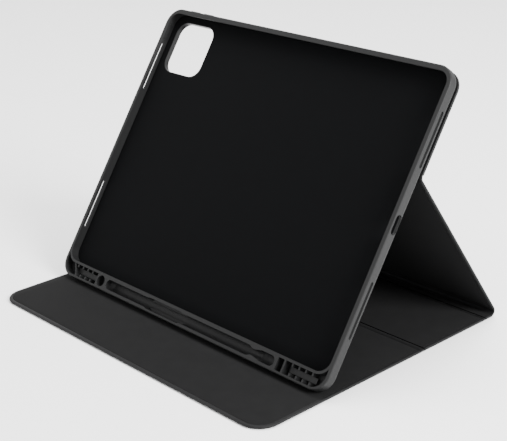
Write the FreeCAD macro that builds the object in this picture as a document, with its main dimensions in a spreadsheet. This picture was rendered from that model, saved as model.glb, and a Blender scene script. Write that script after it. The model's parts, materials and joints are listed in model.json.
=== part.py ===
"""Folio case for a 13-inch class tablet, standing open on its own front cover.

Frame: +X along the tablet's long side, +Y to the rear, +Z up, origin under the middle of the
standing case, on the surface it stands on. All sizes are in millimetres and degrees.
The tray leans back. In its own coordinates x runs along it, y up its face and z out of its face,
with z = 0 on the front of the lip and y = 0 at the upper edge of the pencil channel's mouth.
"""
import math
import os
import re

import FreeCAD
import Part
import Sketcher

Vector = FreeCAD.Vector
LEAST_CHANGE = 0.01     # cubic millimetres that every feature must add or remove
NEAR = 0.01             # two levels closer than this are the same
ROUND_SHARE = 2.1       # a slot's end radius is its height over this, a little less than half of it

SIZES = {
    # the tablet that the tray is made for
    "tablet_length": 280.6,
    "tablet_width": 214.9,
    "tablet_depth": 6.4,
    "tablet_corner": 10.5,
    "fit_gap": 0.2,
    # tray
    "side_wall": 2.3,
    "top_wall": 2.0,
    "lip_depth": 1.0,
    "lip_cover": 0.9,
    "lip_cover_top": 2.0,
    "lip_round": 1.0,
    "floor_depth": 1.5,
    "back_round": 3.6,
    "lining_depth": 0.4,
    # pencil channel under the tray
    "channel_web": 1.0,
    "channel_radius": 4.55,
    "channel_mouth": 7.5,
    "channel_wall": 2.0,
    "channel_back": 1.4,
    "mouth_drop": 0.3,
    "mouth_edge": 0.8,
    "pencil_start_from_end": 55.8,
    "pencil_end_from_end": 47.3,
    "finger_start": -39.0,
    "finger_end": 0.0,
    "finger_depth": 6.4,
    "finger_drop": 0.3,
    "finger_corner": 2.2,
    "neck_from_end": 68.3,
    "neck_width": 9.0,
    "neck_mouth": 4.7,
    "neck_taper": 0.35,
    "neck_bore_radius": 2.95,
    "tip_hole_from_end": 48.9,
    "tip_hole_radius": 4.3,
    "tip_hole_depth": 6.0,
    "spare_hole_from_end": 44.8,
    "spare_hole_length": 5.6,
    # light pockets at both ends of the channel strip
    "pocket_depth": 6.4,
    "pocket_edge": 0.8,
    "left_pocket_from_end": 43.3,
    "right_pocket_from_end": 37.8,
    "corner_wall": 2.6,
    "rib_first_left": 7.1,
    "rib_first_right": 6.0,
    "rib_pitch": 6.1,
    "rib_width": 1.3,
    "rib_height": 2.3,
    "rib_drop": 0.5,
    "rib_root": 0.3,
    "bar_depth": 3.8,
    "divider_top_from_end": 12.4,
    "divider_slant": 6.2,
    "divider_width": 1.4,
    # openings of the tray
    "port_length": 14.0,
    "port_height": 5.8,
    "speaker_length": 40.0,
    "speaker_height": 2.4,
    "speaker_offset": 60.0,
    "camera_size": 42.0,
    "camera_corner": 10.0,
    "camera_margin": 6.0,
    "camera_rim": 1.6,
    "camera_rim_proud": 0.5,
    "glue_gap": 0.4,
    "cut_over": 0.5,
    "button_gap": 0.3,
    "button_proud": 0.8,
    "button_height": 3.4,
    "volume_length": 12.0,
    "volume_first": 23.0,
    "volume_pitch": 15.5,
    "power_length": 13.0,
    "power_offset": 18.0,
    # leather strip
    "cover_narrow": 0.2,
    "skin_depth": 0.6,
    "board_depth": 0.9,
    "inner_depth": 0.5,
    "skin_edge": 1.0,
    "lining_inset": 2.8,
    "spine_lining_inset": 1.4,
    "back_margin": 4.2,
    "back_top_gap": 0.3,
    "cover_corner": 16.0,
    "glue_depth": 0.2,
    "sheet_gap": 0.4,
    # folds
    "lean": 33.1,
    "rest_gap": 0.05,
    "back_panel_height": 74.8,
    "prop_over": 1.4,
    "prop_inset": 1.5,
    "back_inset": 0.6,
    "prop_end": 4.1,
    "back_end": 2.5,
    "crease_end": 2.5,
    "spine_end": 1.6,
    "spine_ease": 0.5,
    "cover_short": 1.0,
    "crease_from_fold": 70.6,
    "web_depth": 1.1,
    "web_gap": 0.45,
    "web_rise": 0.1,
    "bend_web_end": 18.0,
    # magnets
    "magnet_length": 24.0,
    "magnet_width": 6.0,
    "magnet_depth": 0.6,
    "magnet_from_end": 37.8,
    "magnet_cover": 0.2,
    "keeper_rise": 1.0,
    "prop_magnet_share": 0.25,
}

# Sizes that follow from the ones above, in order
DERIVED = {
    "cover_depth": "skin_depth + board_depth + inner_depth",
    "bay_half": "tablet_length / 2 + fit_gap",
    "channel_y": "-mouth_drop - channel_mouth / 2",
    "channel_level": "sqrt(channel_radius * channel_radius - channel_mouth * channel_mouth / 4)",
    "channel_low": "channel_y - channel_radius",
    "channel_high": "channel_y + channel_radius",
    "channel_bottom": "channel_level + channel_radius",
    "bay_low": "channel_y + channel_radius + channel_web",
    "bay_high": "bay_low + tablet_width + 2 * fit_gap",
    "bay_corner": "tablet_corner + fit_gap",
    "bay_floor": "lip_depth + fit_gap + tablet_depth + lining_depth",
    "tray_depth": "max(bay_floor + floor_depth; channel_bottom + channel_back)",
    "bay_middle": "(bay_low + bay_high) / 2",
    "port_level": "lip_depth + fit_gap / 2 + tablet_depth / 2",
    "tray_half": "bay_half + side_wall",
    "tray_high": "bay_high + top_wall",
    "tray_corner": "bay_corner + side_wall",
    "tray_low": "channel_low - channel_wall",
    "pencil_start": "-tray_half + pencil_start_from_end",
    "pencil_end": "tray_half - pencil_end_from_end",
    "neck_start": "tray_half - neck_from_end - neck_width / 2",
    "neck_end": "neck_start + neck_width",
    "tip_hole": "-tray_half + tip_hole_from_end",
    "spare_hole": "tray_half - spare_hole_from_end",
    "left_pocket": "-tray_half + left_pocket_from_end",
    "right_pocket": "tray_half - right_pocket_from_end",
    "corner_x": "tray_half - tray_corner",
    "corner_round": "tray_corner - corner_wall",
    "web_round": "bay_corner + channel_web",
    "web_reach": "acos(corner_round / web_round)",
    "magnet_reach": "tray_half - magnet_from_end",
    "cover_half_width": "tray_half - cover_narrow",
    "fold_height": "tray_high - back_panel_height",
    "prop_length": "fold_height - tray_low + prop_over",
    "back_mid": "tray_depth + glue_depth + cover_depth / 2",
    # the rounded lower back edge of the tray rests on the front cover
    "rest_drop": "(tray_depth - back_round) * sin(lean) - (tray_low + back_round) * cos(lean)",
    "lift": "cover_depth + rest_gap + back_round + rest_drop",
    "rest_line": "(tray_low + back_round) * sin(lean) + (tray_depth - back_round) * cos(lean)",
    # fold between prop and fixed back panel, then fold between spine and prop
    "back_fold_out": "back_mid + back_inset",
    "back_fold_y": "fold_height * sin(lean) + back_fold_out * cos(lean)",
    "back_fold_z": "lift + fold_height * cos(lean) - back_fold_out * sin(lean)",
    "spine_fold_z": "cover_depth / 2 + prop_inset",
    "fold_offset": "prop_inset + back_inset",
    "fold_span": "sqrt(prop_length * prop_length + fold_offset * fold_offset)",
    "fold_rise": "back_fold_z - spine_fold_z",
    "fold_run": "sqrt(fold_span * fold_span - fold_rise * fold_rise)",
    "spine_fold_y": "back_fold_y + fold_run",
    "prop_angle": "atan(fold_rise / fold_run) - atan(fold_offset / prop_length)",
    "spine_width": "tray_depth + cover_depth + spine_ease",
    "cover_fold_y": "spine_fold_y - spine_width",
    "cover_length": "tray_high - tray_low - cover_short",
    "front_y": "cover_fold_y - cover_length",
    "crease_y": "cover_fold_y - crease_from_fold",
    "bend_tan": "tan(90 - prop_angle / 2)",
    "bend_radius": "(prop_end + prop_inset / tan(prop_angle / 2)) / bend_tan",
    "bend_y": "spine_fold_y - prop_end",
    "bend_outer": "bend_radius + cover_depth / 2 - web_rise",
    "rear_y": "bend_y + bend_outer",
    "shift": "-(front_y + rear_y) / 2",
    "back_bend_angle": "180 - prop_angle - (90 - lean)",
}

doc = FreeCAD.newDocument("TabletCase")
sheet = doc.addObject("Spreadsheet::Sheet", "Sizes")
layout = doc.addObject("App::VarSet", "Layout")
NODES = []
RIBS = 4                # in each row of a light pocket


def bound(text):
    """Expression text with every size name pointing at its cell or its layout value."""
    def owner(match):
        word = match.group(0)
        if word in SIZES:
            return "Sizes." + word
        if word in DERIVED:
            return "Layout." + word
        return word
    return re.sub(r"[a-z_]+", owner, str(text))


def value(text):
    """Number that an expression has now."""
    return float(layout.evalExpression(bound(text)))


def bind(thing, path, text):
    thing.setExpression(path, bound(text))


def fill_sheet():
    for row, (name, size) in enumerate(SIZES.items(), start=1):
        sheet.set(f"A{row}", name)
        sheet.set(f"B{row}", str(size))
        sheet.setAlias(f"B{row}", name)
    doc.recompute()
    for name, text in DERIVED.items():
        layout.addProperty("App::PropertyFloat", name)
        bind(layout, name, text)
        doc.recompute()


# ---------------------------------------------------------------- sketch helpers

def new_body(name, place=None):
    body = doc.addObject("PartDesign::Body", name)
    body.Label = name
    NODES.append(body)
    if place:
        place(body)
    return body


def origin_plane(body, plane):
    return [item for item in body.Origin.OriginFeatures if item.Role == plane][0]


def new_sketch(body, name, level="0", plane="XY_Plane"):
    """Sketch on one of the body's origin planes, raised by level along the plane's normal."""
    sketch = body.newObject("Sketcher::SketchObject", name)
    sketch.AttachmentSupport = [(origin_plane(body, plane), "")]
    sketch.MapMode = "FlatFace"
    bind(sketch, "AttachmentOffset.Base.z", level)
    return sketch


def slot_round(height):
    return f"{height} / {ROUND_SHARE}"


def pin(sketch, kind, item, point, text):
    """Bind one coordinate of a sketch point, measured from the sketch's origin."""
    rule = sketch.addConstraint(Sketcher.Constraint(kind, -1, 1, item, point, value(text)))
    bind(sketch, f"Constraints[{rule}]", text)


def outline(sketch, left, right, low, high, corners=None):
    """Rectangle with corner radii given low-left, low-right, high-right, high-left (0 is sharp)."""
    corners = corners or ["0"] * 4
    x = [value(left), value(right)]
    y = [value(low), value(high)]
    spots = [(x[0], y[0]), (x[1], y[0]), (x[1], y[1]), (x[0], y[1])]
    radii = [value(text) for text in corners]
    ways = [(1, 0), (0, 1), (-1, 0), (0, -1)]
    edges = []
    for index in range(4):
        after = (index + 1) % 4
        way = ways[index]
        start = [spots[index][k] + way[k] * radii[index] for k in (0, 1)]
        end = [spots[after][k] - way[k] * radii[after] for k in (0, 1)]
        line = Part.LineSegment(Vector(*start, 0), Vector(*end, 0))
        edges.append(sketch.addGeometry(line, False))
    for index in range(4):
        before = edges[index - 1]
        if radii[index] == 0:
            sketch.addConstraint(Sketcher.Constraint("Coincident", before, 2, edges[index], 1))
            continue
        way, back = ways[index], ways[index - 1]
        centre = [spots[index][k] + (way[k] - back[k]) * radii[index] for k in (0, 1)]
        circle = Part.Circle(Vector(*centre, 0), Vector(0, 0, 1), radii[index])
        turn = math.pi / 2
        first = turn * ((index + 2) % 4)
        arc = sketch.addGeometry(Part.ArcOfCircle(circle, first, first + turn), False)
        sketch.addConstraint(Sketcher.Constraint("Tangent", before, 2, arc, 1))
        sketch.addConstraint(Sketcher.Constraint("Tangent", arc, 2, edges[index], 1))
        rule = sketch.addConstraint(Sketcher.Constraint("Radius", arc, radii[index]))
        bind(sketch, f"Constraints[{rule}]", corners[index])
    for index in (0, 2):
        sketch.addConstraint(Sketcher.Constraint("Horizontal", edges[index]))
        sketch.addConstraint(Sketcher.Constraint("Vertical", edges[index + 1]))
    pin(sketch, "DistanceY", edges[0], 1, low)
    pin(sketch, "DistanceX", edges[1], 1, right)
    pin(sketch, "DistanceY", edges[2], 1, high)
    pin(sketch, "DistanceX", edges[3], 1, left)


def polygon(sketch, points):
    """Closed outline of straight lines through (x, y) expressions."""
    spots = [Vector(value(x), value(y), 0) for x, y in points]
    lines = []
    for index, spot in enumerate(spots):
        after = spots[(index + 1) % len(spots)]
        lines.append(sketch.addGeometry(Part.LineSegment(spot, after), False))
    for index, (x, y) in enumerate(points):
        sketch.addConstraint(Sketcher.Constraint("Coincident", lines[index - 1], 2, lines[index], 1))
        pin(sketch, "DistanceX", lines[index], 1, x)
        pin(sketch, "DistanceY", lines[index], 1, y)


def bow(sketch, x, y, radius, start, end):
    """Arc about (x, y). Each end is an angle in degrees and the kind and value that pin it."""
    circle = Part.Circle(Vector(value(x), value(y), 0), Vector(0, 0, 1), value(radius))
    turns = [math.radians(value(place[0])) for place in (start, end)]
    arc = sketch.addGeometry(Part.ArcOfCircle(circle, *turns), False)
    rule = sketch.addConstraint(Sketcher.Constraint("Radius", arc, value(radius)))
    bind(sketch, f"Constraints[{rule}]", radius)
    pin(sketch, "DistanceX", arc, 3, x)
    pin(sketch, "DistanceY", arc, 3, y)
    pin(sketch, start[1], arc, 1, start[2])
    pin(sketch, end[1], arc, 2, end[2])
    return arc


def join(sketch, first, second):
    """Straight line between two (item, point) ends."""
    line = sketch.addGeometry(Part.LineSegment(sketch.getPoint(*first), sketch.getPoint(*second)), False)
    sketch.addConstraint(Sketcher.Constraint("Coincident", line, 1, *first))
    sketch.addConstraint(Sketcher.Constraint("Coincident", line, 2, *second))
    return line


def disc(sketch, x, y, radius):
    circle = Part.Circle(Vector(value(x), value(y), 0), Vector(0, 0, 1), value(radius))
    ring = sketch.addGeometry(circle, False)
    pin(sketch, "DistanceX", ring, 3, x)
    pin(sketch, "DistanceY", ring, 3, y)
    rule = sketch.addConstraint(Sketcher.Constraint("Radius", ring, value(radius)))
    bind(sketch, f"Constraints[{rule}]", radius)


def feature(body, kind, name, sketch, length, away=False):
    """Pad or Pocket of a sketch; away turns it to the other side of the sketch plane."""
    before = body.Tip.Shape.Volume if body.Tip else 0
    item = body.newObject(f"PartDesign::{kind}", name)
    item.Profile = sketch
    bind(item, "Length", length)
    item.Reversed = away
    doc.recompute()
    change = item.Shape.Volume - before if not item.Shape.isNull() else 0
    if (change if kind == "Pad" else -change) < LEAST_CHANGE:
        raise RuntimeError(f"{name} changes nothing")
    return item


def box_pad(body, name, extents, bottom, length, corners=None):
    sketch = new_sketch(body, name + "_sketch", bottom)
    outline(sketch, *extents, corners)
    return feature(body, "Pad", name, sketch, length)


def box_pocket(body, name, extents, top, length, corners=None):
    """Pocket that starts at level top and goes down by length."""
    sketch = new_sketch(body, name + "_sketch", top)
    outline(sketch, *extents, corners)
    return feature(body, "Pocket", name, sketch, length)


def ball_pocket(body, name, x, y, z, radius):
    """Spherical hollow."""
    before = body.Tip.Shape.Volume
    ball = body.newObject("PartDesign::SubtractiveSphere", name)
    ball.AttachmentSupport = [(origin_plane(body, "XY_Plane"), "")]
    ball.MapMode = "FlatFace"
    bind(ball, "Radius", radius)
    for axis, text in (("x", x), ("y", y), ("z", z)):
        bind(ball, f"AttachmentOffset.Base.{axis}", text)
    doc.recompute()
    if before - ball.Shape.Volume < LEAST_CHANGE:
        raise RuntimeError(f"{name} changes nothing")


# ---------------------------------------------------------------- placements

def tilt(body, angle, y, z):
    """Turn a body about X and set its origin; y is measured before the frame's shift."""
    body.Placement = FreeCAD.Placement(Vector(0, 0, 0), FreeCAD.Rotation(Vector(1, 0, 0), value(angle)))
    bind(body, "Placement.Rotation.Angle", angle)
    bind(body, "Placement.Base.y", f"{y} + shift")
    bind(body, "Placement.Base.z", z)


def on_table(body):
    tilt(body, "0", "0", "0")


def on_tray(body):
    tilt(body, "90 - lean", "0", "lift")


def on_prop(body):
    """Prop coordinates: x across, y from the spine fold up to the back fold, z through the leather
    towards the tray side. Its origin is the spine fold's axis moved onto the outer face."""
    out = "(prop_inset + cover_depth / 2)"
    tilt(body, "180 - prop_angle",
         f"spine_fold_y + {out} * sin(prop_angle)",
         f"spine_fold_z + {out} * cos(prop_angle)")


# ---------------------------------------------------------------- leather strip

def panel(prefix, place, low, high, corner="0", turn="lining_inset"):
    """One stiff field of the strip: a skin turned over the edges, a board and an inner sheet.

    The outer face is at level 0 and the inner face one cover_depth above it. The two corners at
    the low end can be round."""
    half = "cover_half_width"

    def ring(inset):
        radii = []
        for radius in (corner, corner, "0", "0"):
            radii.append("0" if radius == "0" else f"{radius} - {inset}")
        return (f"-{half} + {inset}", f"{half} - {inset}", f"{low} + {inset}", f"{high} - {inset}"), radii

    plate, plate_radii = ring("0")
    room, room_radii = ring("skin_edge")
    sheet_room, sheet_radii = ring(turn)
    skin = new_body(f"{prefix}_skin", place)
    box_pad(skin, f"{prefix}_skin_plate", plate, "0", "cover_depth", plate_radii)
    box_pocket(skin, f"{prefix}_skin_recess", sheet_room, "cover_depth", "inner_depth", sheet_radii)
    box_pocket(skin, f"{prefix}_skin_room", room, "skin_depth + board_depth", "board_depth", room_radii)
    board = new_body(f"{prefix}_board", place)
    box_pad(board, f"{prefix}_board_plate", room, "skin_depth", "board_depth", room_radii)
    sheet_body = new_body(f"{prefix}_lining", place)
    box_pad(sheet_body, f"{prefix}_lining_plate", sheet_room, "skin_depth + board_depth", "inner_depth",
            sheet_radii)
    return board


def flat_web(name, y, end, level, place=on_table):
    """Soft strip in the gap between two boards, centred on their fold."""
    web = new_body(name, place)
    reach = f"({end} - web_gap)"
    extents = ("-cover_half_width + skin_edge", "cover_half_width - skin_edge",
               f"{y} - {reach}", f"{y} + {reach}")
    box_pad(web, name + "_strip", extents, level, "web_depth")


def magnet_places(count):
    """Middles of a row of magnets, spread evenly between both ends of the reach."""
    return [f"magnet_reach * {2 * index / (count - 1) - 1}" for index in range(count)]


def magnet_extents(middle, y):
    return (f"{middle} - magnet_length / 2", f"{middle} + magnet_length / 2",
            f"{y} - magnet_width / 2", f"{y} + magnet_width / 2")


def magnet_row(prefix, place, y, board, count):
    """Flat magnets let into a board, which gets the matching pockets."""
    level = "skin_depth + magnet_cover"
    for index, middle in enumerate(magnet_places(count), start=1):
        extents = magnet_extents(middle, y)
        name = f"{prefix}_{index}"
        box_pocket(board, f"{board.Label}_room_{index}", extents, f"{level} + magnet_depth", "magnet_depth")
        box_pad(new_body(name, place), name + "_plate", extents, level, "magnet_depth")


def make_strip():
    board = panel("front_cover", on_table, "front_y", "crease_y - crease_end", corner="cover_corner")
    magnet_row("stand_magnet", on_table, "rest_line", board, 4)
    flat_web("crease_web", "crease_y", "crease_end", "web_rise")
    panel("rear_cover", on_table, "crease_y + crease_end", "cover_fold_y - spine_end")
    flat_web("cover_fold_web", "cover_fold_y", "spine_end", "web_rise")
    panel("spine", on_table, "cover_fold_y + spine_end", "spine_fold_y - prop_end", turn="spine_lining_inset")
    make_bend_web()
    board = panel("prop", on_prop, "prop_end", "prop_length - back_end")
    magnet_row("prop_magnet", on_prop, "prop_length * prop_magnet_share", board, 2)


def make_bend_web():
    """Rounded fold from the spine up to the prop, left free where the prop's end swings past it."""
    web = new_body("prop_fold_web", on_table)
    sketch = new_sketch(web, "prop_fold_arc", "-cover_half_width + skin_edge", "YZ_Plane")
    middle = "cover_depth / 2 + bend_radius"
    arcs = []
    for radius in ("(bend_outer - web_depth)", "bend_outer"):
        arcs.append(bow(sketch, "bend_y", middle, radius, ("-90", "DistanceX", "bend_y"),
                        ("bend_web_end", "DistanceX", f"bend_y + {radius} * cos(bend_web_end)")))
    for point in (1, 2):
        join(sketch, (arcs[0], point), (arcs[1], point))
    feature(web, "Pad", "prop_fold_strip", sketch, "2 * (cover_half_width - skin_edge)")


# ---------------------------------------------------------------- tray

BAY = ("-bay_half", "bay_half", "bay_low", "bay_high")


def inset(extents, step):
    left, right, low, high = extents
    return f"{left} + {step}", f"{right} - {step}", f"{low} + {step}", f"{high} - {step}"


def camera_extents(margin="0"):
    left = "-bay_half + camera_margin"
    high = "bay_high - camera_margin"
    return (f"{left} - {margin}", f"{left} + camera_size + {margin}",
            f"{high} - camera_size - {margin}", f"{high} + {margin}")


def cut_channel(tray):
    """Pencil channel with round ends, finger recess, neck, tip hole and spare hole, open to the front."""
    mouth = ("channel_y - channel_mouth / 2", "channel_y + channel_mouth / 2")
    level = "-channel_level"
    round_end, sharp = slot_round("channel_mouth"), "0"

    def bore(name, start, end, radius):
        sketch = new_sketch(tray, name + "_sketch", start, "YZ_Plane")
        disc(sketch, "channel_y", level, radius)
        feature(tray, "Pocket", name, sketch, f"{end} - ({start})", away=True)

    first, last = "pencil_start + channel_radius", "pencil_end - channel_radius"
    cap = "neck_end + channel_radius"
    bore("channel_bore", first, "neck_start", "channel_radius")
    bore("cap_bore", cap, last, "channel_radius")
    for name, x in (("channel_first_end", first), ("cap_first_end", cap), ("cap_last_end", last)):
        ball_pocket(tray, name, x, "channel_y", level, "channel_radius")
    bore("neck_bore", "neck_start - cut_over", cap, "neck_bore_radius")
    box_pocket(tray, "channel_mouth_cut", ("pencil_start", "neck_start", *mouth), "0", "channel_level",
               [round_end, sharp, sharp, round_end])
    box_pocket(tray, "cap_mouth_cut", ("neck_end", "pencil_end", *mouth), "0", "channel_level",
               [round_end] * 4)
    neck = new_sketch(tray, "neck_mouth_sketch")
    near, far = "neck_start + neck_width * neck_taper", "neck_end - neck_width * neck_taper"
    beyond = "neck_end + channel_mouth / 2"
    half_mouth, half_neck = "channel_mouth / 2", "neck_mouth / 2"
    side = [("neck_start - cut_over", half_mouth), ("neck_start", half_mouth), (near, half_neck),
            (far, half_neck), (beyond, half_mouth)]
    polygon(neck, [(x, f"channel_y - {y}") for x, y in side] +
            [(x, f"channel_y + {y}") for x, y in reversed(side)])
    feature(tray, "Pocket", "neck_mouth_cut", neck, "channel_level")
    box_pocket(tray, "finger_recess", ("finger_start", "finger_end", "channel_low",
               "channel_high - finger_drop"), "0", "finger_depth", ["finger_corner"] * 4)
    hole = new_sketch(tray, "tip_hole_sketch")
    disc(hole, "tip_hole", "channel_y", "tip_hole_radius")
    feature(tray, "Pocket", "tip_hole", hole, "tip_hole_depth")
    box_pocket(tray, "spare_hole", ("spare_hole", "spare_hole + spare_hole_length", "channel_low",
               "channel_high"), "0", "pocket_depth", ["pocket_edge"] * 4)


def cut_end_pocket(tray, side, start):
    """Hollow at one end of the channel strip. It runs on around the tray's corner, between the
    outer wall and the web that surrounds the tablet bay's corner."""
    sketch = new_sketch(tray, f"{side}_pocket_sketch")
    low_centre, high_centre = "channel_low + corner_round", "channel_high + web_round"
    if side == "right":
        wall, down = "corner_x + corner_round", ("-90", "DistanceX", "corner_x")
        outer = bow(sketch, "corner_x", low_centre, "corner_round", down, ("0", "DistanceY", low_centre))
        web = bow(sketch, "corner_x", high_centre, "web_round", down, ("-web_reach", "DistanceX", wall))
        low_end, wall_end, web_wall, web_end = (outer, 1), (outer, 2), (web, 2), (web, 1)
    else:
        wall, down = "-corner_x - corner_round", ("-90", "DistanceX", "-corner_x")
        outer = bow(sketch, "-corner_x", low_centre, "corner_round", ("-180", "DistanceY", low_centre), down)
        web = bow(sketch, "-corner_x", high_centre, "web_round", ("web_reach - 180", "DistanceX", wall), down)
        low_end, wall_end, web_wall, web_end = (outer, 2), (outer, 1), (web, 1), (web, 2)
    join(sketch, wall_end, web_wall)
    upright = sketch.addGeometry(Part.LineSegment(
        Vector(value(start), value("channel_low"), 0), Vector(value(start), value("channel_high"), 0)), False)
    for point, height in ((1, "channel_low"), (2, "channel_high")):
        pin(sketch, "DistanceX", upright, point, start)
        pin(sketch, "DistanceY", upright, point, height)
    join(sketch, (upright, 1), low_end)
    join(sketch, (upright, 2), web_end)
    feature(tray, "Pocket", f"{side}_pocket", sketch, "pocket_depth")


def fill_end_pocket(tray, side, first, way):
    """Short ribs from top and bottom and a raised bar between them."""
    base = "-pocket_depth - rib_root"
    ribs = new_sketch(tray, f"{side}_ribs_sketch", base)
    for step in range(RIBS):
        near = f"{first} {way} rib_pitch * {step}"
        left, right = f"{near} - rib_width / 2", f"{near} + rib_width / 2"
        outline(ribs, left, right, "channel_low - rib_root", "channel_low + rib_height")
        outline(ribs, left, right, "channel_high - rib_height", "channel_high + rib_root")
    feature(tray, "Pad", f"{side}_ribs", ribs, "pocket_depth + rib_root - rib_drop")
    ends = [f"{first} {way} rib_pitch * ({share})" for share in (-0.5, RIBS - 0.5)]
    if way == "-":
        ends.reverse()
    box_pad(tray, f"{side}_bar", (*ends, "channel_low + rib_height + rib_root",
            "channel_high - rib_height - rib_root"), base, "pocket_depth + rib_root - bar_depth")


def make_light_pockets(tray):
    cut_end_pocket(tray, "left", "left_pocket")
    cut_end_pocket(tray, "right", "right_pocket")
    # slanted divider between the left hollow and its corner
    sketch = new_sketch(tray, "left_divider_sketch", "-pocket_depth - rib_root")
    top, bottom = "-tray_half + divider_top_from_end", "-tray_half + divider_top_from_end + divider_slant"
    low, high = "channel_low - rib_root", "channel_high + rib_root"
    polygon(sketch, [(bottom, low), (f"{bottom} + divider_width", low),
                     (f"{top} + divider_width", high), (top, high)])
    feature(tray, "Pad", "left_divider", sketch, "pocket_depth + rib_root - rib_drop")
    fill_end_pocket(tray, "left", "left_pocket - rib_first_left", "-")
    fill_end_pocket(tray, "right", "right_pocket + rib_first_right", "+")


def cut_ports(tray):
    """Port and speaker slots in the short sides, button holes in the long and short sides."""
    def slot(name, plane, level, depth, middle, length, height, away=True):
        sketch = new_sketch(tray, name + "_sketch", level, plane)
        extents = (f"{middle} - {length} / 2", f"{middle} + {length} / 2",
                   f"-port_level - {height} / 2", f"-port_level + {height} / 2")
        outline(sketch, *extents, [slot_round(height)] * 4)
        feature(tray, "Pocket", name, sketch, depth, away)

    right = ("YZ_Plane", "bay_half - cut_over", "side_wall + 2 * cut_over")
    left = ("YZ_Plane", "-tray_half - cut_over", "side_wall + 2 * cut_over")
    top = ("XZ_Plane", "-bay_high + cut_over", "top_wall + 2 * cut_over")
    slot("port_slot", *right, "bay_middle", "port_length", "port_height")
    for name, sign in (("upper", "+"), ("lower", "-")):
        place = (f"(bay_middle {sign} speaker_offset)", "speaker_length", "speaker_height")
        slot(f"right_{name}_slot", *right, *place)
        slot(f"left_{name}_slot", *left, *place)
    height = "(button_height + 2 * button_gap)"
    slot("power_hole", *left, "(bay_high - power_offset)", "(power_length + 2 * button_gap)", height)
    for step in range(2):
        middle = f"(-bay_half + volume_first + volume_pitch * {step})"
        slot(f"volume_hole_{step + 1}", *top, middle, "(volume_length + 2 * button_gap)", height, away=False)


def edges_at(shape, level):
    """Names of the edges that lie in the plane z = level."""
    names = []
    for index, edge in enumerate(shape.Edges, start=1):
        box = edge.BoundBox
        if abs(box.ZMin - level) < NEAR and abs(box.ZMax - level) < NEAR:
            names.append(f"Edge{index}")
    return names


def round_edges(tray):
    """Round the outer edges of the plain block before the pockets are cut."""
    for name, level, radius in (("back_edge_round", -value("tray_depth"), "back_round"),
                                ("lip_edge_round", 0, "lip_round")):
        plain = tray.Tip
        fillet = tray.newObject("PartDesign::Fillet", name)
        fillet.Base = (plain, edges_at(plain.Shape, level))
        bind(fillet, "Radius", radius)
        doc.recompute()


def make_tray():
    tray = new_body("tray_shell", on_tray)
    box_pad(tray, "tray_block", ("-tray_half", "tray_half", "tray_low", "tray_high"), "-tray_depth",
            "tray_depth", ["tray_corner"] * 4)
    round_edges(tray)
    left, right, low, high = BAY
    opening = (f"{left} + lip_cover", f"{right} - lip_cover", f"{low} + lip_cover", f"{high} - lip_cover_top")
    box_pocket(tray, "lip_opening", opening, "0", "lip_depth + cut_over",
               ["bay_corner - lip_cover"] * 2 + ["bay_corner - lip_cover_top"] * 2)
    box_pocket(tray, "tablet_bay", BAY, "-lip_depth", "bay_floor - lip_depth", ["bay_corner"] * 4)
    cut_channel(tray)
    make_light_pockets(tray)
    cut_ports(tray)
    box_pocket(tray, "camera_hole", camera_extents(), "-bay_floor + cut_over",
               "tray_depth - bay_floor + 2 * cut_over", ["camera_corner"] * 4)
    # steel strips for the stand magnets, let into the back behind the channel
    for index, middle in enumerate(magnet_places(4), start=1):
        extents = magnet_extents(middle, "(channel_y + keeper_rise)")
        box_pocket(tray, f"keeper_room_{index}", extents, "-tray_depth + magnet_depth", "magnet_depth")
        box_pad(new_body(f"keeper_strip_{index}", on_tray), f"keeper_plate_{index}", extents,
                "-tray_depth", "magnet_depth")
    lining = new_body("tray_lining", on_tray)
    box_pad(lining, "tray_lining_sheet", inset(BAY, "sheet_gap"), "-bay_floor", "lining_depth",
            ["bay_corner - sheet_gap"] * 4)
    box_pocket(lining, "tray_lining_camera", camera_extents("sheet_gap"), "-bay_floor + lining_depth",
               "lining_depth", ["camera_corner + sheet_gap"] * 4)


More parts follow.
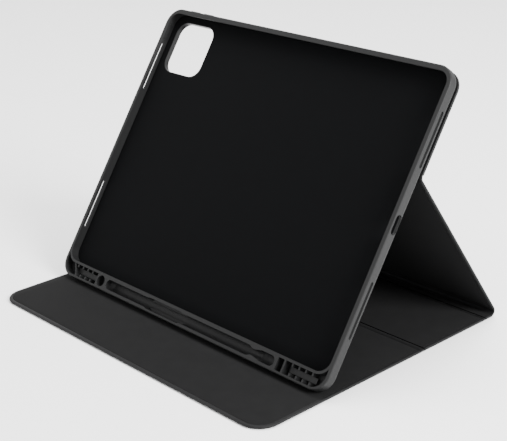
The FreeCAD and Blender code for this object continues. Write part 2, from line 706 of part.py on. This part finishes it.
def make_back_panel():
    """Leather panel bonded to the upper part of the tray's back, with the camera hole."""
    base = "-tray_depth - glue_depth"
    deep = f"{base} - cover_depth"
    shelf = f"{deep} + skin_depth + board_depth"
    outer = ("-cover_half_width", "cover_half_width", "fold_height + back_end", "tray_high - back_top_gap")

    def camera_cut(body, name, top, length, margin):
        box_pocket(body, f"{name}_camera", camera_extents(margin), top, length,
                   [f"camera_corner + {margin}"] * 4)

    def top_round(step):
        return ["0", "0", f"tray_corner - {step}", f"tray_corner - {step}"]

    glue = new_body("back_adhesive", on_tray)
    box_pad(glue, "back_adhesive_sheet", inset(outer, "back_margin"), base, "glue_depth",
            top_round("back_margin"))
    camera_cut(glue, "back_adhesive", "-tray_depth", "glue_depth", "(camera_rim + glue_gap)")

    skin = new_body("back_panel_skin", on_tray)
    box_pad(skin, "back_skin_plate", outer, deep, "cover_depth", top_round("0"))
    box_pocket(skin, "back_skin_recess", inset(outer, "back_margin"), base, "inner_depth",
               top_round("back_margin"))
    box_pocket(skin, "back_skin_room", inset(outer, "skin_edge"), shelf, "board_depth",
               top_round("skin_edge"))
    camera_cut(skin, "back_skin", base, "cover_depth", "camera_rim")

    board = new_body("back_panel_board", on_tray)
    box_pad(board, "back_board_plate", inset(outer, "skin_edge"), f"{deep} + skin_depth", "board_depth",
            top_round("skin_edge"))
    box_pad(board, "back_board_step", inset(outer, "back_margin"), shelf, "inner_depth",
            top_round("back_margin"))
    camera_cut(board, "back_board", base, "board_depth + inner_depth", "camera_rim")

    ring = new_body("camera_surround", on_tray)
    ring_depth = "camera_rim_proud + cover_depth + glue_depth"
    box_pad(ring, "camera_ring", camera_extents("camera_rim"), f"{deep} - camera_rim_proud", ring_depth,
            ["camera_corner + camera_rim"] * 4)
    box_pocket(ring, "camera_ring_hole", camera_extents(), "-tray_depth + cut_over",
               f"{ring_depth} + 2 * cut_over", ["camera_corner"] * 4)

    web = new_body("back_fold_web", on_tray)
    reach = "(back_end - web_gap)"
    box_pad(web, "back_fold_strip", ("-cover_half_width + skin_edge", "cover_half_width - skin_edge",
            f"fold_height - {reach}", f"fold_height + {reach}"), f"{deep} + web_rise", "web_depth")


def make_buttons():
    """Soft covers over the tablet's keys. Each slides into the wall when pressed."""
    def cover(name, plane, level, length, extents, away):
        key = new_body(name, on_tray)
        sketch = new_sketch(key, name + "_sketch", level, plane)
        outline(sketch, *extents, [slot_round("button_height")] * 4)
        feature(key, "Pad", name + "_block", sketch, length, away)

    def face(middle, length):
        return (f"{middle} - {length} / 2", f"{middle} + {length} / 2",
                "-port_level - button_height / 2", "-port_level + button_height / 2")

    for step, name in enumerate(("volume_up_cover", "volume_down_cover")):
        middle = f"(-bay_half + volume_first + volume_pitch * {step})"
        cover(name, "XZ_Plane", "-bay_high", "top_wall + button_proud", face(middle, "volume_length"), True)
    cover("power_cover", "YZ_Plane", "-bay_half", "side_wall + button_proud",
          face("(bay_high - power_offset)", "power_length"), True)


def check_and_write():
    doc.recompute()
    for item in doc.Objects:
        if "Invalid" in item.State or "Error" in item.State:
            raise RuntimeError(f"{item.Label} failed")
    for body in NODES:
        shape = body.Shape
        if shape.isNull() or not shape.isValid() or len(shape.Solids) != 1:
            raise RuntimeError(f"{body.Label} has no single valid solid")
    os.makedirs("parts", exist_ok=True)
    for body in NODES:
        body.Shape.exportStep(f"parts/{body.Label}.step")
    print(len(NODES), "pieces written")


fill_sheet()
make_strip()
make_tray()
make_back_panel()
make_buttons()
check_and_write()
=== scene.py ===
"""Looks of the standing tablet folio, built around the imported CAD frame. Lengths are in metres."""
import json
import math

import bmesh
import bpy
from mathutils import Matrix, Vector


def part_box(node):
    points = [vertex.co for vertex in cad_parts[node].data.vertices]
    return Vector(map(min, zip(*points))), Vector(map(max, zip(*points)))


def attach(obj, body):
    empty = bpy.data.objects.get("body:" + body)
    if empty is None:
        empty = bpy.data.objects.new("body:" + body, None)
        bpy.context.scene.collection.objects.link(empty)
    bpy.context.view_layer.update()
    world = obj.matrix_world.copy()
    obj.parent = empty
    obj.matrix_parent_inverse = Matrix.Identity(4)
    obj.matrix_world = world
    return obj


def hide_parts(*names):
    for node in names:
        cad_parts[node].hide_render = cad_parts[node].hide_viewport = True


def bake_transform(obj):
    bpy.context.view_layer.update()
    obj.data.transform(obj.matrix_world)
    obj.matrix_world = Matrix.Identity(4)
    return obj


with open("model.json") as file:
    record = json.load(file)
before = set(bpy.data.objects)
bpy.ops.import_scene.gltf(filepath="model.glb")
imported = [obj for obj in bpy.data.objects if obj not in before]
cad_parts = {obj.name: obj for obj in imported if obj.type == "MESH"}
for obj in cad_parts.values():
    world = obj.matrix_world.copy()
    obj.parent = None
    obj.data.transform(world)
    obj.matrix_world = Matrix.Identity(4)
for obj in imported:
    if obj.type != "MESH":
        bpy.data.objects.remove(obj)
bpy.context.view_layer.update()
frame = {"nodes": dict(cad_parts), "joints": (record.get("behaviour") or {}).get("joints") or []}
MM = 0.001
JOINTS = {joint["name"]: joint for joint in frame["joints"]}

# sizes that the frame's boxes and joints do not give
COVER_CORNER = 16 * MM
TURNED_EDGE = 2.8 * MM      # leather margin around the inner sheet
PROP_INSET = 1.5 * MM       # fold axis inside the prop's middle plane
BACK_INSET = 0.6 * MM       # fold axis outside the back panel's middle plane
PROP_END = 4.1 * MM         # from the spine fold's axis to the prop's stiff part
BACK_END = 2.5 * MM         # from the back fold's axis to the stiff parts on both sides
CREASE_END = 2.5 * MM
SPINE_END = 1.6 * MM
OVERLAP = 0.4 * MM          # soft strips reach this far into the stiff parts
STRIP_OUTER = 0.04 * MM     # bent strips lie this far inside the panels' outer faces
STRIP_INNER = 0.06 * MM     # and this far inside their inner faces
KEY_PROUD = 0.8 * MM        # key covers stand this far out of the wall
KEY_GAP = 0.3 * MM          # slit between a key cover and its hole

COVER_LOW, COVER_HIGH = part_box("front_cover_skin")
COVER_HALF = COVER_HIGH.x
COVER_DEPTH = COVER_HIGH.z - COVER_LOW.z


# ---------------------------------------------------------------- places

class Place:
    """Local coordinates of a panel: x across, s along, n from its outer face to its inner face."""

    def __init__(self, origin, along, inward):
        self.origin = Vector(origin)
        self.along = Vector(along)
        self.inward = Vector(inward)

    def at(self, x, s, n):
        return Vector((x, 0, 0)) + self.origin + self.along * s + self.inward * n


def pivot(name):
    return Vector(JOINTS[name]["pos_m"])


TABLE = Place((0, 0, 0), (0, 1, 0), (0, 0, 1))
SPINE_FOLD = pivot("prop_fold")
BACK_FOLD = pivot("stand_fold")
REACH = BACK_FOLD - SPINE_FOLD
PROP_LENGTH = math.sqrt(REACH.length_squared - (PROP_INSET + BACK_INSET) ** 2)
PROP_ANGLE = math.atan2(REACH.z, -REACH.y) - math.atan2(PROP_INSET + BACK_INSET, PROP_LENGTH)
PROP_ALONG = Vector((0, -math.cos(PROP_ANGLE), math.sin(PROP_ANGLE)))
PROP_IN = Vector((0, -math.sin(PROP_ANGLE), -math.cos(PROP_ANGLE)))
PROP = Place(SPINE_FOLD - PROP_IN * (PROP_INSET + COVER_DEPTH / 2), PROP_ALONG, PROP_IN)
TRAY_UP = -Vector(JOINTS["volume_up_press"]["axis"])
TRAY_OUT = Vector((0, -TRAY_UP.z, TRAY_UP.y))


# ---------------------------------------------------------------- materials

def new_material(name):
    material = bpy.data.materials.new(name)
    material.use_nodes = True
    tree = material.node_tree
    return material, tree, tree.nodes["Principled BSDF"]


def link(tree, source, target):
    tree.links.new(source, target)


def noise(tree, scale, detail=4, rough=0.55, stretch=(1, 1, 1)):
    """Noise over the object's own coordinates, scale in turns per metre."""
    nodes = tree.nodes
    coords = nodes.new("ShaderNodeTexCoord")
    mapping = nodes.new("ShaderNodeMapping")
    mapping.inputs["Scale"].default_value = stretch
    pattern = nodes.new("ShaderNodeTexNoise")
    pattern.inputs["Scale"].default_value = scale
    pattern.inputs["Detail"].default_value = detail
    pattern.inputs["Roughness"].default_value = rough
    link(tree, coords.outputs["Object"], mapping.inputs["Vector"])
    link(tree, mapping.outputs["Vector"], pattern.inputs["Vector"])
    return pattern.outputs["Fac"]


def cells(tree, scale):
    """Distance to the edges of a cell pattern, scale in cells per metre."""
    nodes = tree.nodes
    coords = nodes.new("ShaderNodeTexCoord")
    pattern = nodes.new("ShaderNodeTexVoronoi")
    pattern.feature = "DISTANCE_TO_EDGE"
    pattern.inputs["Scale"].default_value = scale
    link(tree, coords.outputs["Object"], pattern.inputs["Vector"])
    return pattern.outputs["Distance"]


def ramp(tree, source, low, high, low_value, high_value):
    """Remaps a factor to a range."""
    node = tree.nodes.new("ShaderNodeMapRange")
    node.inputs["From Min"].default_value = low
    node.inputs["From Max"].default_value = high
    node.inputs["To Min"].default_value = low_value
    node.inputs["To Max"].default_value = high_value
    link(tree, source, node.inputs["Value"])
    return node.outputs["Result"]


def tint(tree, source, dark, light):
    """Colour that goes from dark to light with a factor."""
    node = tree.nodes.new("ShaderNodeMix")
    node.data_type = "RGBA"
    node.inputs["A"].default_value = (*dark, 1)
    node.inputs["B"].default_value = (*light, 1)
    link(tree, source, node.inputs["Factor"])
    return node.outputs["Result"]


def bump(tree, shader, heights):
    """Chain of bumps from (height output, distance in metres, strength)."""
    previous = None
    for height, distance, strength in heights:
        node = tree.nodes.new("ShaderNodeBump")
        node.inputs["Distance"].default_value = distance
        node.inputs["Strength"].default_value = strength
        link(tree, height, node.inputs["Height"])
        if previous:
            link(tree, previous, node.inputs["Normal"])
        previous = node.outputs["Normal"]
    link(tree, previous, shader.inputs["Normal"])


def leather_material():
    """Smooth coated leather with a fine pebble grain."""
    material, tree, shader = new_material("coated_leather")
    pebble = cells(tree, 1500)
    mottle = noise(tree, 90, 7, 0.8)
    fine = noise(tree, 900, 2)
    color = tint(tree, mottle, (0.0036, 0.0036, 0.0038), (0.0064, 0.0064, 0.0067))
    link(tree, color, shader.inputs["Base Color"])
    link(tree, ramp(tree, fine, 0.3, 0.7, 0.50, 0.66), shader.inputs["Roughness"])
    shader.inputs["Specular IOR Level"].default_value = 0.14
    shader.inputs["Sheen Weight"].default_value = 0.02
    shader.inputs["Sheen Roughness"].default_value = 0.4
    bump(tree, shader, [(ramp(tree, pebble, 0, 0.3, 0, 1), 0.00012, 0.35), (fine, 0.0001, 0.15)])
    return material


def lining_material(name, dark, light):
    """Microfibre sheet: short nap with faint brushed patches."""
    material, tree, shader = new_material(name)
    nap = noise(tree, 2400, 3, 0.7)
    patch = noise(tree, 90, 7, 0.8)
    link(tree, tint(tree, patch, dark, light), shader.inputs["Base Color"])
    shader.inputs["Roughness"].default_value = 0.86
    shader.inputs["Specular IOR Level"].default_value = 0.04
    shader.inputs["Sheen Weight"].default_value = 0.015
    shader.inputs["Sheen Roughness"].default_value = 0.45
    bump(tree, shader, [(nap, 0.00022, 0.45), (noise(tree, 420, 3, 0.6), 0.00015, 0.2)])
    return material


def tpu_material(name, dark, light, rough=0.5):
    """Soft moulded TPU with a satin spark-eroded skin."""
    material, tree, shader = new_material(name)
    grain = noise(tree, 3200, 2, 0.6)
    cloud = noise(tree, 22, 3)
    link(tree, tint(tree, cloud, dark, light), shader.inputs["Base Color"])
    link(tree, ramp(tree, grain, 0.3, 0.7, rough - 0.06, rough + 0.08), shader.inputs["Roughness"])
    shader.inputs["Specular IOR Level"].default_value = 0.2
    bump(tree, shader, [(grain, 0.00008, 0.35)])
    return material


def board_material():
    material, tree, shader = new_material("pressed_board")
    fibre = noise(tree, 260, 5, 0.7, (1, 3, 1))
    link(tree, tint(tree, fibre, (0.20, 0.17, 0.13), (0.32, 0.28, 0.22)), shader.inputs["Base Color"])
    shader.inputs["Roughness"].default_value = 0.85
    bump(tree, shader, [(fibre, 0.0001, 0.3)])
    return material


def metal_material():
    material, tree, shader = new_material("plated_steel")
    brushed = noise(tree, 300, 3, 0.6, (1, 14, 14))
    link(tree, tint(tree, brushed, (0.42, 0.42, 0.44), (0.56, 0.56, 0.57)), shader.inputs["Base Color"])
    link(tree, ramp(tree, brushed, 0.3, 0.7, 0.24, 0.4), shader.inputs["Roughness"])
    shader.inputs["Metallic"].default_value = 1.0
    return material


def film_material():
    material, tree, shader = new_material("bonding_film")
    color = tint(tree, noise(tree, 120, 3), (0.5, 0.5, 0.48), (0.6, 0.6, 0.57))
    link(tree, color, shader.inputs["Base Color"])
    shader.inputs["Roughness"].default_value = 0.35
    return material


LEATHER = leather_material()
LINING = lining_material("microfibre", (0.0048, 0.0048, 0.0049), (0.0090, 0.0090, 0.0092))
BAY_LINING = lining_material("bay_microfibre", (0.0010, 0.0011, 0.0013), (0.0016, 0.0017, 0.0020))
TPU = tpu_material("moulded_tpu", (0.0062, 0.0063, 0.0065), (0.0086, 0.0087, 0.0089))
KEY_TPU = tpu_material("key_tpu", (0.0054, 0.0055, 0.0057), (0.0074, 0.0075, 0.0077), 0.42)
RING = tpu_material("camera_ring_plastic", (0.0034, 0.0034, 0.0036), (0.0050, 0.0050, 0.0053), 0.32)
BOARD = board_material()
METAL = metal_material()
FILM = film_material()


def dress(obj, material):
    obj.data.materials.clear()
    obj.data.materials.append(material)


def smooth(obj, angle=32):
    obj.data.shade_smooth()
    obj.data.set_sharp_from_angle(angle=math.radians(angle))


def soften(obj, width, segments=2, angle=38):
    modifier = obj.modifiers.new("soft_edges", "BEVEL")
    modifier.width = width
    modifier.segments = segments
    modifier.limit_method = "ANGLE"
    modifier.angle_limit = math.radians(angle)
    modifier.harden_normals = True


# ---------------------------------------------------------------- panel meshes

def rounded_loop(half, low, high, low_corner, high_corner, steps=10):
    """Corner-rounded rectangle as a closed list of (x, s), the same number of points for any size."""
    points = []
    corners = (
        (half, low, low_corner, -90), (half, high, high_corner, 0),
        (-half, high, high_corner, 90), (-half, low, low_corner, 180),
    )
    for x, s, radius, start in corners:
        cx = x - math.copysign(radius, x)
        cs = s + radius if s == low else s - radius
        for step in range(steps + 1):
            turn = math.radians(start + 90 * step / steps)
            points.append((cx + radius * math.cos(turn), cs + radius * math.sin(turn)))
    return points


def bridge(mesh, lower, upper):
    """Band of faces between two closed loops with the same number of points."""
    band = []
    for index in range(len(lower)):
        after = (index + 1) % len(lower)
        band.append(mesh.faces.new((lower[index], lower[after], upper[after], upper[index])))
    return band


def ring_mesh(name, place, half, low, high, profile, corners=(0, 0), open_ends=(False, False)):
    """Closed plate from rings. profile lists (inset, height) from the outer face to the inner face.

    The two corner radii are those of the low and the high end. An open end is cut straight, where a
    soft strip goes on."""
    mesh = bmesh.new()
    rings = []
    for inset, height in profile:
        low_at = low if open_ends[0] else low + inset
        high_at = high if open_ends[1] else high - inset
        radii = [max(radius - inset, 0.02 * MM) for radius in corners]
        loop = rounded_loop(half - inset, low_at, high_at, *radii)
        rings.append([mesh.verts.new(place.at(x, s, height)) for x, s in loop])
    for lower, upper in zip(rings, rings[1:]):
        bridge(mesh, lower, upper)
    mesh.faces.new(list(reversed(rings[0])))
    mesh.faces.new(rings[-1])
    return finish_mesh(mesh, name)


def finish_mesh(mesh, name):
    bmesh.ops.remove_doubles(mesh, verts=mesh.verts, dist=1e-6)
    bmesh.ops.recalc_face_normals(mesh, faces=mesh.faces)
    data = bpy.data.meshes.new(name)
    mesh.to_mesh(data)
    mesh.free()
    obj = bpy.data.objects.new(name, data)
    bpy.context.scene.collection.objects.link(obj)
    smooth(obj)
    return obj


def skin_profile(depth):
    """Bull-nosed leather edge, a turned margin and the step down to the inner sheet."""
    nose = depth / 2
    rounds = [(nose - nose * math.sin(math.radians(turn)), nose - nose * math.cos(math.radians(turn)))
              for turn in range(0, 181, 15)]
    crown = 0.05 * MM
    return rounds + [
        (TURNED_EDGE * 0.6, depth + crown),
        (TURNED_EDGE - 0.35 * MM, depth),
        (TURNED_EDGE - 0.1 * MM, depth - 0.12 * MM),
        (TURNED_EDGE, depth - 0.45 * MM),
    ]


def sheet_profile(depth):
    """Inner sheet: a thin plate with a soft pressed edge, sunk a hair below the margin."""
    base = depth - 0.46 * MM
    top = depth - 0.03 * MM
    edge = TURNED_EDGE + 0.08 * MM
    return [
        (edge, base),
        (edge, top - 0.25 * MM),
        (edge + 0.12 * MM, top - 0.08 * MM),
        (edge + 0.35 * MM, top),
    ]


def cover_field(prefix, body, place, low, high, corners=(0, 0), open_ends=(True, True)):
    """Leather skin and inner sheet of one stiff field."""
    skin = ring_mesh(f"{prefix}_leather", place, COVER_HALF, low, high, skin_profile(COVER_DEPTH),
                     corners, open_ends)
    dress(skin, LEATHER)
    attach(skin, body)
    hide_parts(f"{prefix}_skin")
    sheet = ring_mesh(f"{prefix}_inner_sheet", place, COVER_HALF, low, high, sheet_profile(COVER_DEPTH),
                      corners, open_ends)
    dress(sheet, LINING)
    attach(sheet, body)
    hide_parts(f"{prefix}_lining")


def soft_strip(name, nodes, path, outer_height, inner_height):
    """Soft leather strip across a fold, with the lining on its inner face.

    path lists (share of the way, (point on the outer face, inward direction)). The heights of the
    outer and inner face are measured along inward and depend on the share."""
    mesh = bmesh.new()
    rounds = 8
    margin = COVER_HALF - TURNED_EDGE
    loops = []
    for share, (base, inward) in path:
        low, high = outer_height(share), inner_height(share)
        middle, radius = (low + high) / 2, (high - low) / 2
        section = []
        turns = [math.radians(-90 + 180 * step / rounds) for step in range(rounds + 1)]
        for side in (1, -1):
            reach = COVER_HALF - radius
            ends = [(side * (reach + radius * math.cos(turn)), middle + side * radius * math.sin(turn))
                    for turn in turns]
            section += ends + [(margin, high)] if side > 0 else [(-margin, high)] + ends
        loops.append([mesh.verts.new(Vector((x, 0, 0)) + base + inward * n) for x, n in section])
    lined = rounds + 1
    for lower, upper in zip(loops, loops[1:]):
        bridge(mesh, lower, upper)[lined].material_index = 1
    mesh.faces.new(list(reversed(loops[0])))
    mesh.faces.new(loops[-1])
    strip = finish_mesh(mesh, name)
    dress(strip, LEATHER)
    strip.data.materials.append(LINING)
    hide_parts(*nodes)
    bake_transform(strip)


def arc_path(start, along, inward, end_along, end_inward, radius, angle, steps):
    """Frames of a strip that runs straight, bends and runs straight again, as soft_strip takes them.

    start is on the outer face where the bend begins. The bend's centre lies on the inward side, or
    on the outer side where radius is negative."""
    centre = start + inward * radius
    side = math.copysign(1, radius)
    frames = [(0.0, (start - along * OVERLAP, inward))]
    for step in range(steps + 1):
        turn = angle * step / steps
        way = inward * math.cos(turn) - along * (side * math.sin(turn))
        frames.append(((step + 1) / (steps + 2), (centre - way * radius, way)))
    end = frames[-1][1][0]
    frames.append((1.0, (end + end_along * OVERLAP, end_inward)))
    return frames


# ---------------------------------------------------------------- the object

def make_covers():
    crease = pivot("front_crease").y
    cover_fold = pivot("cover_fold").y
    cover_field("front_cover", "front_cover", TABLE, COVER_LOW.y, crease - CREASE_END,
                (COVER_CORNER, 0), (False, True))
    cover_field("rear_cover", "rear_cover", TABLE, crease + CREASE_END, cover_fold - SPINE_END)
    cover_field("spine", "spine", TABLE, cover_fold + SPINE_END, SPINE_FOLD.y - PROP_END)
    cover_field("prop", "prop", PROP, PROP_END, PROP_LENGTH - BACK_END)
    flat_fold("crease", "crease_web", crease, CREASE_END)
    flat_fold("cover_fold", "cover_fold_web", cover_fold, SPINE_END)


def flat_fold(name, node, y, end):
    """Inner face with a pressed line at each side of the fold, outer face with a shallow valley."""
    steps = 20
    width = 2 * (end + OVERLAP)
    path = []
    for step in range(steps + 1):
        share = step / steps
        path.append((share, (TABLE.at(0, y - end - OVERLAP + width * share, 0), TABLE.inward)))
    line = OVERLAP / width
    line_spread = 0.16
    line_depth = 0.6 * MM
    inner_sunk = 0.12 * MM
    valley_depth = 0.22 * MM
    outer_sunk = 0.06 * MM

    def inner(share):
        from_line = min(abs(share - line), abs(share - 1 + line)) / line_spread
        return COVER_DEPTH - inner_sunk - line_depth * math.exp(-from_line * from_line)

    def outer(share):
        return outer_sunk + valley_depth * math.sin(math.pi * share) ** 2

    soft_strip(f"{name}_leather", [node], path, outer, inner)


def make_spine_bend():
    """Rounded fold between spine and prop. Its inner face dips, so it has room when it lies flat."""
    start = Vector((0, SPINE_FOLD.y - PROP_END, 0))
    turn = math.pi - PROP_ANGLE
    radius = (PROP_END + PROP_INSET / math.tan(PROP_ANGLE / 2)) / math.tan(turn / 2) + COVER_DEPTH / 2
    path = arc_path(start, TABLE.along, TABLE.inward, PROP.along, PROP.inward, radius, turn, 24)
    dip = 0.75 * MM

    def inner(share):
        return COVER_DEPTH - STRIP_INNER - dip * math.sin(math.pi * share) ** 2

    soft_strip("prop_fold_leather", ["prop_fold_web"], path,
               lambda share: STRIP_OUTER, inner)


def make_back_fold():
    """Fold between prop and fixed back panel. It bends the other way, with the leather inside."""
    start = PROP.at(0, PROP_LENGTH - BACK_END, 0)
    turn = math.acos(max(-1, min(1, PROP.along.dot(TRAY_UP))))
    middle_radius = (BACK_END + BACK_INSET * math.tan(turn / 2)) / math.tan(turn / 2)
    radius = middle_radius - COVER_DEPTH / 2
    path = arc_path(start, PROP.along, PROP.inward, TRAY_UP, TRAY_OUT, -radius, turn, 20)
    soft_strip("back_fold_leather", ["back_fold_web"], path,
               lambda share: STRIP_OUTER, lambda share: COVER_DEPTH - STRIP_INNER)


def slot_outline(half_length, half_height):
    """Points of a slot with almost round ends, centred on (0, 0)."""
    steps = 10
    radius = half_height * 0.95
    points = []
    for corner, (side, level) in enumerate(((1, 1), (-1, 1), (-1, -1), (1, -1))):
        for step in range(steps + 1):
            turn = math.radians(90 * corner + 90 * step / steps)
            points.append((side * (half_length - radius) + radius * math.cos(turn),
                           level * (half_height - radius) + radius * math.sin(turn)))
    return points


def make_key_webs():
    """Thin moulded web that closes the slit round each key cover, sunk in the tray's wall."""
    for key in ("volume_up", "volume_down", "power"):
        inward = Vector(JOINTS[f"{key}_press"]["axis"])
        along = Vector((1, 0, 0)) if abs(inward.x) < 0.5 else TRAY_UP
        across = inward.cross(along)
        points = [vertex.co for vertex in frame["nodes"][f"{key}_cover"].data.vertices]
        spans = []
        for axis in (along, across, inward):
            reaches = [axis.dot(point) for point in points]
            spans.append((min(reaches), max(reaches)))
        middle_along, middle_across = (sum(span) / 2 for span in spans[:2])
        half_along, half_across = ((span[1] - span[0]) / 2 for span in spans[:2])
        wall_face, wall_back = spans[2][0] + KEY_PROUD, spans[2][1]
        front, back = wall_face + 0.4 * MM, wall_back - 0.2 * MM
        inner, outer = 0.03 * MM, KEY_GAP + 0.2 * MM
        mesh = bmesh.new()
        loops = []
        for spread, depth in ((inner, front), (outer, front), (outer, back), (inner, back)):
            middle = along * middle_along + across * middle_across + inward * depth
            outline = slot_outline(half_along + spread, half_across + spread)
            loops.append([mesh.verts.new(middle + along * a + across * b) for a, b in outline])
        for lower, upper in zip(loops, loops[1:] + loops[:1]):
            bridge(mesh, lower, upper)
        web = finish_mesh(mesh, f"{key}_web")
        dress(web, KEY_TPU)
        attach(web, "tray")


def dress_cad_nodes():
    nodes = frame["nodes"]
    finishes = {
        "tray_shell": (TPU, 0.4 * MM),
        "tray_lining": (BAY_LINING, 0.1 * MM),
        "back_panel_skin": (LEATHER, 0.4 * MM),
        "camera_surround": (RING, 0.25 * MM),
        "volume_up_cover": (KEY_TPU, 0.4 * MM),
        "volume_down_cover": (KEY_TPU, 0.4 * MM),
        "power_cover": (KEY_TPU, 0.4 * MM),
        "back_adhesive": (FILM, 0),
    }
    for name, node in nodes.items():
        if name in finishes:
            material, width = finishes[name]
        elif name.endswith("_board"):
            material, width = BOARD, 0
        elif "magnet" in name or "keeper" in name:
            material, width = METAL, 0
        else:
            material, width = LEATHER, 0
        dress(node, material)
        smooth(node)
        if width:
            soften(node, width)


# ---------------------------------------------------------------- stage

def make_stage():
    half = 6
    corners = [(-half, -half, 0), (half, -half, 0), (half, half, 0), (-half, half, 0)]
    floor_data = bpy.data.meshes.new("floor")
    floor_data.from_pydata(corners, [], [(0, 1, 2, 3)])
    floor = bpy.data.objects.new("floor", floor_data)
    floor.location.z = -0.4 * MM
    bpy.context.scene.collection.objects.link(floor)
    material, tree, shader = new_material("pale_floor")
    shader.inputs["Base Color"].default_value = (0.94, 0.94, 0.94, 1)
    shader.inputs["Roughness"].default_value = 0.9
    dress(floor, material)


def area_light(name, place, target, size, power):
    data = bpy.data.lights.new(name, "AREA")
    data.shape = "DISK"
    data.size = size
    data.energy = power
    light = bpy.data.objects.new(name, data)
    light.location = place
    light.rotation_euler = (Vector(target) - Vector(place)).to_track_quat("-Z", "Y").to_euler()
    bpy.context.scene.collection.objects.link(light)


def make_lights():
    world = bpy.data.worlds.new("soft_sky")
    world.use_nodes = True
    sky = world.node_tree.nodes["Background"]
    sky.inputs["Color"].default_value = (1, 1, 1, 1)
    sky.inputs["Strength"].default_value = 1.9
    bpy.context.scene.world = world
    area_light("key", (1.6, 0.1, 1.0), (0.1, 0, 0.1), 0.8, 90)
    area_light("top", (-0.3, 0.3, 1.8), (0, 0, 0.1), 1.0, 30)


def make_camera():
    """Camera at the viewing angle of a standing product shot, from the right and a little above."""
    azimuth, elevation, roll = (math.radians(angle) for angle in (46.587, 21.09, -0.705))
    cover_front_to_tray = 61.1 * MM
    target = Vector((75.38 * MM, COVER_LOW.y + cover_front_to_tray, 106.28 * MM))
    distance = 819.5 * MM
    back = Vector((math.sin(azimuth) * math.cos(elevation), -math.cos(azimuth) * math.cos(elevation),
                   math.sin(elevation)))
    side = Vector((0, 0, 1)).cross(back).normalized()
    up = back.cross(side)
    right = side * math.cos(roll) + up * math.sin(roll)
    top = up * math.cos(roll) - side * math.sin(roll)
    data = bpy.data.cameras.new("camera")
    data.lens = 89.47
    data.sensor_width = 36
    data.clip_start = 0.01
    camera = bpy.data.objects.new("camera", data)
    turn = Matrix((right, top, back)).transposed().to_4x4()
    camera.matrix_world = Matrix.Translation(target + back * distance) @ turn
    bpy.context.scene.collection.objects.link(camera)
    bpy.context.scene.camera = camera


make_covers()
make_spine_bend()
make_back_fold()
make_key_webs()
dress_cad_nodes()
make_stage()
make_lights()
make_camera()
